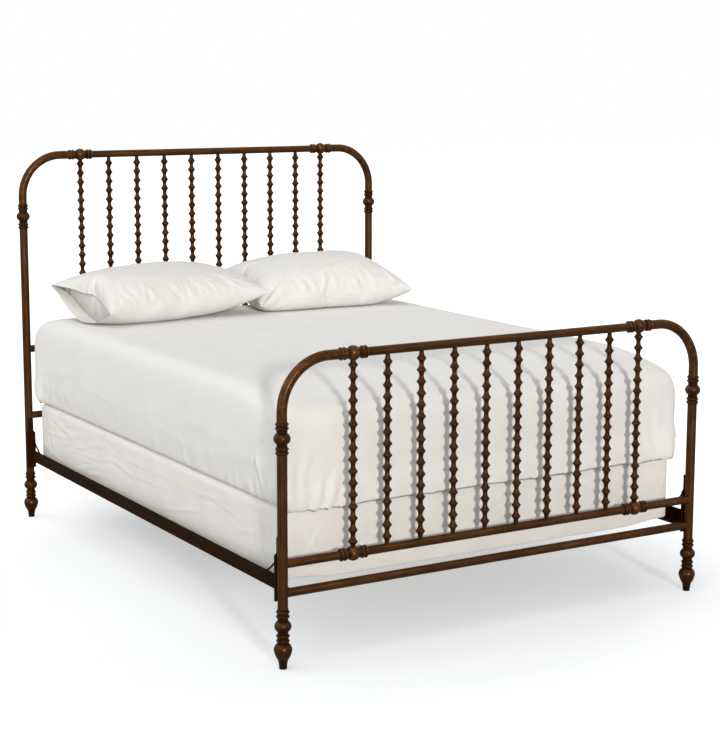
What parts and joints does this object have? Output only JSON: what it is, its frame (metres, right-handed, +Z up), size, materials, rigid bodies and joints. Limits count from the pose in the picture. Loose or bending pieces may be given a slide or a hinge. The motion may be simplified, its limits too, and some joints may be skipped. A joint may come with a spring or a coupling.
{
  "type": "bed",
  "caption": "Metal spindle bedstead with bobbin-turned spindles and cast collars, angle-iron side rails, box spring, mattress in a fitted sheet and pillows.",
  "frame": {"origin": "on the floor under the middle of the bedstead, midway between the post axes both ways", "axes": "+Z up, +Y from the footboard to the headboard, +X to the right of someone who faces the headboard from the foot"},
  "size_m": [1.657, 2.187, 1.4805],
  "materials": {
    "bronze_paint": "satin bronze-brown paint with brushed copper highlights",
    "rail_paint": "satin black-brown paint",
    "bolt_steel": "browned steel",
    "grid_steel": "plain drawn wire",
    "glide_plastic": "matte",
    "box_wood": "raw softwood",
    "cover_cloth": "woven cotton, warm white",
    "mattress_ticking": "quilted ticking",
    "sheet_cloth": "woven cotton, white",
    "pillow_ticking": "plain ticking",
    "case_cloth": "woven cotton, white"
  },
  "bodies": {
    "bedstead": {"head_post_left": "bronze_paint", "head_corner_left": "bronze_paint", "head_post_collar_left": "bronze_paint", "head_top_collar_left": "bronze_paint", "head_rail_collar_left": "bronze_paint", "head_cast_foot_left": "bronze_paint", "head_post_right": "bronze_paint", "head_corner_right": "bronze_paint", "head_post_collar_right": "bronze_paint", "head_top_collar_right": "bronze_paint", "head_rail_collar_right": "bronze_paint", "head_cast_foot_right": "bronze_paint", "head_top_rail": "bronze_paint", "head_spindles": "bronze_paint", "head_spindle_rail": "bronze_paint", "head_low_rail": "bronze_paint", "foot_post_left": "bronze_paint", "foot_corner_left": "bronze_paint", "foot_post_collar_left": "bronze_paint", "foot_top_collar_left": "bronze_paint", "foot_rail_collar_left": "bronze_paint", "foot_cast_foot_left": "bronze_paint", "foot_post_right": "bronze_paint", "foot_corner_right": "bronze_paint", "foot_post_collar_right": "bronze_paint", "foot_top_collar_right": "bronze_paint", "foot_rail_collar_right": "bronze_paint", "foot_cast_foot_right": "bronze_paint", "foot_top_rail": "bronze_paint", "foot_spindles": "bronze_paint", "foot_spindle_rail": "bronze_paint", "foot_low_rail": "bronze_paint", "side_rail_left_head": "rail_paint", "side_rail_left_foot": "rail_paint", "side_rail_right_head": "rail_paint", "side_rail_right_foot": "rail_paint", "rail_splice_plates": "rail_paint", "rail_end_plates": "rail_paint", "rail_braces": "rail_paint", "rail_bolts": "bolt_steel", "cross_slat_head": "rail_paint", "cross_slat_middle": "rail_paint", "cross_slat_foot": "rail_paint", "centre_leg_head": "rail_paint", "centre_leg_middle": "rail_paint", "slat_fasteners": "bolt_steel"},
    "box_spring": {"box_spring_frame": "box_wood", "box_spring_grid": "grid_steel", "box_spring_cover": "cover_cloth"},
    "mattress": {"mattress": "mattress_ticking", "mattress_springs": "mattress_ticking", "fitted_sheet": "sheet_cloth"},
    "pillow_left": {"pillow_left": "pillow_ticking", "pillow_left_case": "case_cloth"},
    "pillow_right": {"pillow_right": "pillow_ticking", "pillow_right_case": "case_cloth"},
    "glide_head": {"glide_head": "glide_plastic"},
    "glide_middle": {"glide_middle": "glide_plastic"}
  },
  "joints": [
    {"name": "box_spring_lift", "type": "slide", "parent": "bedstead", "child": "box_spring", "axis": [0, 0, 1], "range_m": [0, 0.75]},
    {"name": "mattress_lift", "type": "slide", "parent": "box_spring", "child": "mattress", "axis": [0, 0, 1], "range_m": [0, 0.55]},
    {"name": "pillow_left_lift", "type": "slide", "parent": "mattress", "child": "pillow_left", "axis": [0, 0, 1], "range_m": [0, 0.7]},
    {"name": "pillow_right_lift", "type": "slide", "parent": "mattress", "child": "pillow_right", "axis": [0, 0, 1], "range_m": [0, 0.7]},
    {"name": "glide_head_screw", "type": "slide", "parent": "bedstead", "child": "glide_head", "axis": [0, 0, 1], "range_m": [0, 0.018]},
    {"name": "glide_middle_screw", "type": "slide", "parent": "bedstead", "child": "glide_middle", "axis": [0, 0, 1], "range_m": [0, 0.018]}
  ]
}
